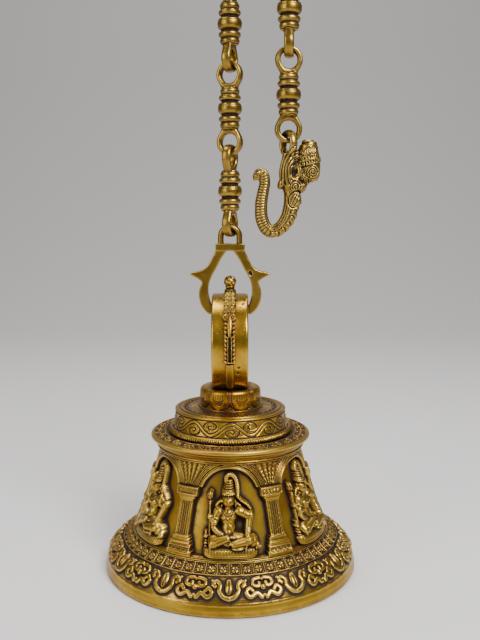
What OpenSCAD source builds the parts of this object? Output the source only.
// Temple bell on a link chain with a hook, modelled as separate castings.
// Lengths in mm. Each module is drawn in bell coordinates (bell axis = Z, rim plane = 0)
// and moved by place() so that the hang point in the middle of the top link is the origin.

/* [Bell] */
// Mouth diameter at the rim
mouth_d = 200; // [180:1:220]
// Wall thickness of the waist
wall = 4.5; // [4:0.1:5.5]
// Height of the shoulder flange
shoulder_z = 108.4; // [104:0.2:112]
// Radius of the tier that stands on the shoulder
tier_r = 48.8; // [46:0.5:50]
// Top of the tier
tier_z = 128.4; // [124:0.2:132]

/* [Ring handle] */
// Outer radius of the ring
ring_r = 37.8; // [34:0.1:40]
// Radial thickness of the ring
ring_t = 8.5; // [6:0.5:10]
// Width of the ring band
ring_w = 28; // [24:0.5:30]
// Height of the ring centre
ring_z = 180; // [176:0.5:184]

/* [Stirrup] */
// Radius of the round bar that passes through the ring
bar_r = 3.8; // [3:0.1:4.5]
// Gap left between a bar and the eye that it hangs in
hang_gap = 0.3; // [0.2:0.05:0.5]
// Thickness of the stirrup plate
plate_t = 7.5; // [6:0.5:9]

/* [Chain] */
// Distance between the eye centres of one link
eye_pitch = 50.2; // [48:0.1:52]
// Distance between the eye centres of the top link
top_pitch = 47; // [45:0.5:50]
// Mean radius of an eye
eye_r = 8.3; // [8:0.1:9]
// Half of the radial thickness of an eye
eye_half = 2; // [1.8:0.1:2.4]
// Half of the straight part of the eye section
eye_flat = 1.5; // [1:0.1:2]
// Height from one eye centre to the next where two links cross squarely
drop = 11.7; // [11:0.05:12]

/* [Relief] */
// Number of niches round the waist
niches = 6; // [6:6]
// Number of leaf ornaments round the lip
leaves = 24; // [18:1:30]
// Number of rosette studs in the frieze
studs = 60; // [48:1:72]

/* [Hidden] */
$fn = 96;
brass = [0.62, 0.47, 0.2];
steel = [0.55, 0.5, 0.42];
e = 0.01;

// heights of the hanging chain, from the ring upwards
bar_z = ring_z + ring_r - ring_t - hang_gap - bar_r;
stirrup_eye_r = 7.2;
stirrup_eye_half = 2.4;
stirrup_eye_z = bar_z + 57.1;
l1_z = stirrup_eye_z + 9.65 + eye_pitch / 2;
l2_z = l1_z + eye_pitch + drop;
l3_z = l2_z + eye_pitch + drop;
top_left_z = l3_z + eye_pitch / 2 + drop;
// turn of each link's plane about its own vertical
turn_a = 70;
turn_b = -20;
turn_r2 = 85;
turn_r1 = 5;
turn_hook = -65;
top_rise = 6.9;
top_run = sqrt(top_pitch * top_pitch - top_rise * top_rise);
right_x = top_run * cos(turn_b);
right_y = top_run * sin(turn_b);
top_right_z = top_left_z + top_rise;
r2_z = top_right_z - 10.95 - eye_pitch / 2;
r1_z = r2_z - eye_pitch - 11.3;
hook_eye_z = r1_z - eye_pitch / 2 - 10.45;
hang = [right_x / 2, right_y / 2, (top_left_z + top_right_z) / 2];

// outer outline of the bell from the rim edge up to the shoulder flange; between the ledge at
// 33 and the moulding at 98 it is the recessed field that the arcade stands on
rim_r = mouth_d / 2;
field = [[70.3, 37.7], [68.6, 42.5], [65.3, 52.3], [60.7, 66.9], [56.5, 81.6], [53.5, 92.9]];
outer = concat([[rim_r, 0], [rim_r, 4], [99.3, 7.5], [98.2, 10.1], [95.3, 14.8], [90.9, 19.2],
  [86, 23.8], [80, 28.2], [76.2, 31.6], [72.2, 33.2]], field, [[53.2, 96.8], [56.8, 98.2],
  [57.8, 100.2], [59.8, 102.8], [61.6, 104.4], [63, 105.6], [63, 107.2], [62, shoulder_z],
  [51, shoulder_z + 1.4], [50, shoulder_z + 0.6]]);
inner = [[0, 102], [30, 101.6], [39, 99.6], [44.5, 96.4], [47.4, 93.6],
  for (i = [5 : -1 : 0]) field[i] - [wall, 1.2], [68.4, 32.4], [73.6, 27.6], [80.4, 21.8],
  [86.2, 16.4], [90.4, 10.6], [92.6, 4], [93, 0]];
bolt_r = 5;
bolt_clear = 0.2;
seat_z = shoulder_z + 0.6;

module place() translate([-hang[0], -hang[1], -hang[2]]) children();

module cast(c = brass) color(c) place() children();

// a tapered limb with a ball at its far end, in few flat facets
module limb(a, b, ra, rb, sides = 10) {
  d = b - a;
  l = norm(d);
  translate(a) rotate([0, acos(d[2] / l), atan2(d[1], d[0])])
    cylinder(h = l, r1 = ra, r2 = rb, $fn = sides);
  translate(b) sphere(r = rb * 1.06, $fn = sides);
}

// ---- bell casting and its relief ----

module bell_shell() cast() difference() {
  rotate_extrude() polygon(concat(outer, [[0, seat_z]], inner));
  translate([0, 0, 95]) cylinder(h = 30, r = bolt_r + bolt_clear);
}

// band of thickness grow standing on the outside of the bell between two heights
module skin(grow, z0, z1) intersection() {
  rotate_extrude() polygon(concat([for (p = outer) if (p[1] > 3 && p[1] < 101) p],
    [for (i = [len(outer) - 1 : -1 : 0]) if (outer[i][1] > 3 && outer[i][1] < 101)
      outer[i] + [grow, 0]]));
  translate([0, 0, z0]) cylinder(h = z1 - z0, r = rim_r + 10);
}

// a flat drawing (x along the wall, y up) pushed out through one side of the skin
module on_wall(turn, grow, z0, z1) intersection() {
  rotate([0, 0, turn]) rotate([90, 0, 0]) linear_extrude(rim_r + 20) children();
  skin(grow, z0, z1);
}

module column_face() {
  translate([-9, 31]) square([18, 5]);
  translate([-7.5, 36 - e]) square([15, 6]);
  translate([-6, 42 - e]) square([12, 5]);
  polygon([[-5, 46], [5, 46], [4.4, 71], [-4.4, 71]]);
  translate([-5.5, 70.5]) square([11, 3]);
  translate([-7.5, 73]) square([15, 7]);
}

module arcade_columns() cast() for (k = [0 : niches - 1])
  on_wall((k + 0.5) * 360 / niches, 4.6, 33.4, 80) column_face();

arch_half = 20;
arch_rise = 13.8;
arch_r = (arch_half * arch_half + arch_rise * arch_rise) / (2 * arch_rise);

module arch_face() difference() {
  translate([-arch_half - 9, 80.2]) square([2 * arch_half + 18, 17]);
  translate([0, 80 + arch_rise - arch_r]) circle(r = arch_r);
}

module arcade_arches() cast() for (k = [0 : niches - 1])
  on_wall(k * 360 / niches, 3.8, 80.2, 96.6) intersection() {
    arch_face();
    translate([-28.5, 78]) square([57, 22]);
  }

// a point of a figure: x across, out from the wall field, height
function at_wall(x, out, z) = [x, -lookup(z, [for (p = field) [p[1], p[0]]]) - out, z];

// seated cross-legged figure that leans back with the wall
module seated_figure() {
  limb(at_wall(-16, 2.4, 36.6), at_wall(18, 2.4, 36.6), 3.4, 3.4, 8);
  for (s = [-1, 1]) {
    limb(at_wall(3 * s, 2.4, 43), at_wall(15 * s, 3, 42), 4.2, 3.8);
    limb(at_wall(7 * s, 2, 65), at_wall(11.6 * s, 2.2, 57), 2.6, 2.3);
    limb(at_wall(11.6 * s, 2.2, 57), at_wall(10 * s, 4, 48), 2.1, 1.9);
  }
  limb(at_wall(4, 4.6, 42.6), at_wall(-4, 5.4, 41.6), 3, 2.6);
  limb(at_wall(0, 2, 46), at_wall(0, 2.4, 64), 5.6, 6);
  limb(at_wall(-0.6, 3, 67), at_wall(-0.6, 2.8, 73.4), 3, 4.6);
  limb(at_wall(0, 2.2, 76), at_wall(0, 1.6, 88), 4, 2.6);
  limb(at_wall(-15.4, 1.4, 41), at_wall(-14, 1.4, 78), 1.3, 1.2, 8);
}

module niche_figures() cast() for (k = [0 : niches - 1]) rotate([0, 0, k * 360 / niches])
  seated_figure();

module leaf_face(w, h) polygon([[0, -h / 2], [w / 2, 0], [0, h / 2], [-w / 2, 0]]);

module lip_ornaments() cast() for (k = [0 : leaves - 1]) {
  on_wall(k * 360 / leaves, 2.2, 10, 25) translate([0, 17.2]) leaf_face(13, 13);
  on_wall((k + 0.5) * 360 / leaves, 1.8, 10, 25) translate([0, 17.2]) circle(r = 2.6);
}

module frieze_studs() cast() for (k = [0 : studs - 1]) rotate([0, 0, k * 360 / studs])
  translate([0, -79.6, 28]) rotate([58, 0, 0]) cylinder(h = 3.4, r = 2, $fn = 24);

module shoulder_cord() cast() rotate_extrude() {
  translate([60, 100.9]) circle(r = 1.5);
  translate([58.4, 98.2]) circle(r = 1.1);
}

// ---- crown: tier, lotus, ring, bolt ----

module tier_cap() cast() difference() {
  rotate_extrude() polygon([[36, seat_z], [tier_r - 1, seat_z], [tier_r, seat_z + 1.2],
    [tier_r, seat_z + 3.4], [tier_r - 1.6, seat_z + 4.8], [tier_r - 3, seat_z + 5],
    [44.9, seat_z + 9], [43.6, seat_z + 12.6], [43, seat_z + 15.4], [43, seat_z + 17.4],
    [42.2, seat_z + 18.6], [39.8, tier_z], [0, tier_z], [0, tier_z - 6],
    [34, tier_z - 6], [37, tier_z - 9]]);
  translate([0, 0, tier_z - 10]) cylinder(h = 20, r = bolt_r + bolt_clear);
}

lotus_top = 144;
module lotus_boss() cast() difference() {
  union() {
    translate([0, 0, tier_z]) cylinder(h = 3, r = 26);
    translate([0, 0, tier_z + 3 - e]) cylinder(h = lotus_top - tier_z - 3, r1 = 19, r2 = 15);
    intersection() {
      for (k = [0 : 7]) rotate([0, 0, (k + 0.5) * 45]) translate([0, -15, tier_z + 8])
        sphere(r = 8.6, $fn = 48);
      translate([0, 0, tier_z + 1]) cylinder(h = lotus_top - tier_z - 3, r = 30);
    }
  }
  translate([0, 0, tier_z - 5]) cylinder(h = 12, r = bolt_r);
  ring_foot(0);
}

module ring_foot(grow) translate([0, 0, tier_z + 7]) cylinder(h = 12, r = 11 + grow);

module ring_section() {
  square([ring_t, ring_w - 3], center = true);
  square([ring_t - 3, ring_w], center = true);
  for (a = [-1, 1], b = [-1, 1]) translate([a * (ring_t / 2 - 1.5), b * (ring_w / 2 - 1.5)])
    circle(r = 1.5);
}

module ring_handle() cast() difference() {
  union() {
    translate([0, 0, ring_z]) rotate([0, 90, 0]) rotate_extrude()
      translate([ring_r - ring_t / 2, 0]) ring_section();
    ring_foot(0);
  }
  translate([0, 0, tier_z]) cylinder(h = 13, r = bolt_r);
}

crest_bottom = 150;
module ring_crest() cast() {
  intersection() {
    translate([0, 0, ring_z]) rotate([0, 90, 0]) rotate_extrude()
      translate([ring_r, -3]) square([2.2, 6]);
    translate([-10, -60, crest_bottom]) cube([20, 120, 80]);
  }
  translate([0, 0, ring_z + ring_r + 1.5]) cylinder(h = 6, r1 = 3.4, r2 = 2.6);
  translate([0, 0, ring_z + ring_r + 9]) sphere(r = 3.8);
}

crown_eye_z = 85.5;
module crown_bolt() cast(steel) {
  translate([0, 0, 90]) cylinder(h = lotus_top - 94.6, r = bolt_r);
  translate([0, 0, crown_eye_z]) rotate([90, 0, 0]) rotate_extrude() translate([6, 0])
    circle(r = 2.2);
}

module crown_washer() cast(steel) difference() {
  translate([0, 0, 100]) cylinder(h = 1.6, r = 11);
  translate([0, 0, 99]) cylinder(h = 4, r = bolt_r + 0.1);
}

module crown_nut() cast(steel) difference() {
  translate([0, 0, 94.4]) cylinder(h = 5.6, r = 9.2, $fn = 6);
  translate([0, 0, 93]) cylinder(h = 8, r = bolt_r);
}

// ---- clapper ----

clapper_eye_z = crown_eye_z - 7.5;
ball_z = 20;
ball_r = 17;
module clapper_rod() cast() {
  translate([0, 0, clapper_eye_z]) rotate([0, 90, 0]) rotate_extrude() translate([6, 0])
    circle(r = 2);
  translate([0, 0, ball_z + ball_r - 6]) cylinder(h = clapper_eye_z - ball_z - ball_r - 0.6, r = 3.6);
}

module clapper_ball() cast() difference() {
  union() {
    translate([0, 0, ball_z]) sphere(r = ball_r);
    translate([0, 0, ball_z + ball_r - 2]) cylinder(h = 5, r = 6);
  }
  translate([0, 0, ball_z + ball_r - 6]) cylinder(h = 12, r = 3.6);
}

// ---- stirrup ----

arm_in = ring_w / 2 + 0.5;
bar_half = 19;
module stirrup_side() polygon([[arm_in, bar_z - 4.4], [17.4, bar_z - 4], [21, bar_z - 0.4],
  [23.8, bar_z + 5], [24.6, bar_z + 11], [24.2, bar_z + 16.6], [22, bar_z + 21], [24, bar_z + 23],
  [31.2, bar_z + 28.2], [25.5, bar_z + 29.8], [20, bar_z + 31.8], [16.9, bar_z + 35.4],
  [13.8, bar_z + 41.2], [11.4, bar_z + 45.4], [11.4, bar_z + 51.6], [-1, bar_z + 51.6],
  [-1, bar_z + 45], [3.4, bar_z + 43.4], [7.4, bar_z + 38], [10.9, bar_z + 31.4],
  [14.9, bar_z + 24], [16.8, bar_z + 18], [17, bar_z + 12], [16, bar_z + 7],
  [arm_in, bar_z + 4.4]]);

module stirrup_frame() cast() difference() {
  translate([0, plate_t / 2, 0]) rotate([90, 0, 0]) linear_extrude(plate_t) {
    stirrup_side();
    mirror([1, 0]) stirrup_side();
  }
  translate([-bar_half - 1, 0, bar_z]) rotate([0, 90, 0])
    cylinder(h = 2 * bar_half + 2, r = bar_r);
}

module stirrup_bar() cast() translate([-bar_half, 0, bar_z]) rotate([0, 90, 0])
  cylinder(h = 2 * bar_half, r = bar_r);

module stirrup_eye() cast() {
  translate([0, 0, stirrup_eye_z]) rotate([90, 0, 0]) rotate_extrude(angle = 180)
    translate([stirrup_eye_r, 0]) circle(r = stirrup_eye_half);
  for (s = [-1, 1]) translate([s * stirrup_eye_r, 0, bar_z + 51.6])
    cylinder(h = stirrup_eye_z - bar_z - 51.6, r = stirrup_eye_half);
}

// ---- chain ----

module eye() rotate([90, 0, 0]) rotate_extrude() {
  translate([eye_r - eye_half, -eye_flat]) square([2 * eye_half, 2 * eye_flat]);
  for (s = [-1, 1]) translate([eye_r, s * eye_flat]) circle(r = eye_half);
}

// turned bead between the two eyes, drawn about its own middle
module bead(s = 1) rotate_extrude() scale([1, 1]) polygon([[0, -15.2], [5.4, -15.2], [7.2, -14.4],
  [7.2, -12.6], [6, -11.9], [6, -11.1], [8.1, -10.3], [8.4, -8.9], [7.9, -7.6], [6.3, -6.9],
  [6.3, -5.6], [8.4, -4.4], [9.1, -2.6], [9.15, 0], [9.1, 2.6], [8.4, 4.4], [6.3, 5.6],
  [6.3, 6.9], [7.9, 7.6], [8.4, 8.9], [8.1, 10.3], [6, 11.1], [6, 11.9], [7.2, 12.6],
  [7.2, 14.4], [5.4, 15.2], [0, 15.2]]);

module link(pitch, turn) rotate([0, 0, turn]) {
  for (s = [-1, 1]) translate([0, 0, s * pitch / 2]) eye();
  bead();
}

module chain_link_1() cast() translate([0, 0, l1_z]) link(eye_pitch, turn_a);
module chain_link_2() cast() translate([0, 0, l2_z]) link(eye_pitch, turn_b);
module chain_link_3() cast() translate([0, 0, l3_z]) link(eye_pitch, turn_a);
module chain_link_4() cast() translate([right_x, right_y, r2_z]) link(eye_pitch, turn_r2);
module chain_link_5() cast() translate([right_x, right_y, r1_z]) link(eye_pitch, turn_r1);

module top_link() cast() translate(hang) rotate([0, 0, turn_b])
  rotate([0, 90 - atan2(top_rise, top_run), 0]) link(top_pitch, 0);

// ---- hook in the shape of a trunked head ----

module hook_path(points) for (i = [0 : len(points) - 2])
  limb([points[i][0], 0, points[i][1]], [points[i + 1][0], 0, points[i + 1][1]],
    points[i][2], points[i + 1][2]);

// each row: x from the eye, z, radius
trunk = [[0, 321, 4.4], [-0.4, 305, 6.2], [1.2, 293, 6], [0.8, 285, 4.9], [-0.8, 277, 4.7],
  [-4.6, 270, 4.5], [-9.9, 266.4, 4.4], [-15.4, 268.6, 4.4], [-19.4, 274, 4.3],
  [-20.4, 281, 4.2], [-18.6, 290, 4], [-16.9, 299, 3.7], [-17.4, 306.4, 3.5],
  [-20.4, 309.2, 3.2], [-22.8, 306, 2.6]];
head = [[5.6, 318, 5], [10.4, 323.6, 6.4], [15.4, 325, 6.8], [18, 314.6, 6.4]];
jaw = [[5.5, 300, 4.4], [12, 305, 3], [6.2, 291.6, 3.2], [6, 287.6, 2.4]];

module elephant_hook() cast() translate([right_x, right_y, 0]) {
  translate([0, 0, hook_eye_z]) rotate([0, 0, turn_hook]) eye();
  hook_path(trunk);
  hook_path(head);
  hook_path(jaw);
}

bell_shell();
arcade_columns();
arcade_arches();
niche_figures();
lip_ornaments();
frieze_studs();
shoulder_cord();
tier_cap();
lotus_boss();
ring_handle();
ring_crest();
crown_bolt();
crown_washer();
crown_nut();
clapper_rod();
clapper_ball();
stirrup_frame();
stirrup_eye();
stirrup_bar();
chain_link_1();
chain_link_2();
chain_link_3();
top_link();
chain_link_4();
chain_link_5();
elephant_hook();
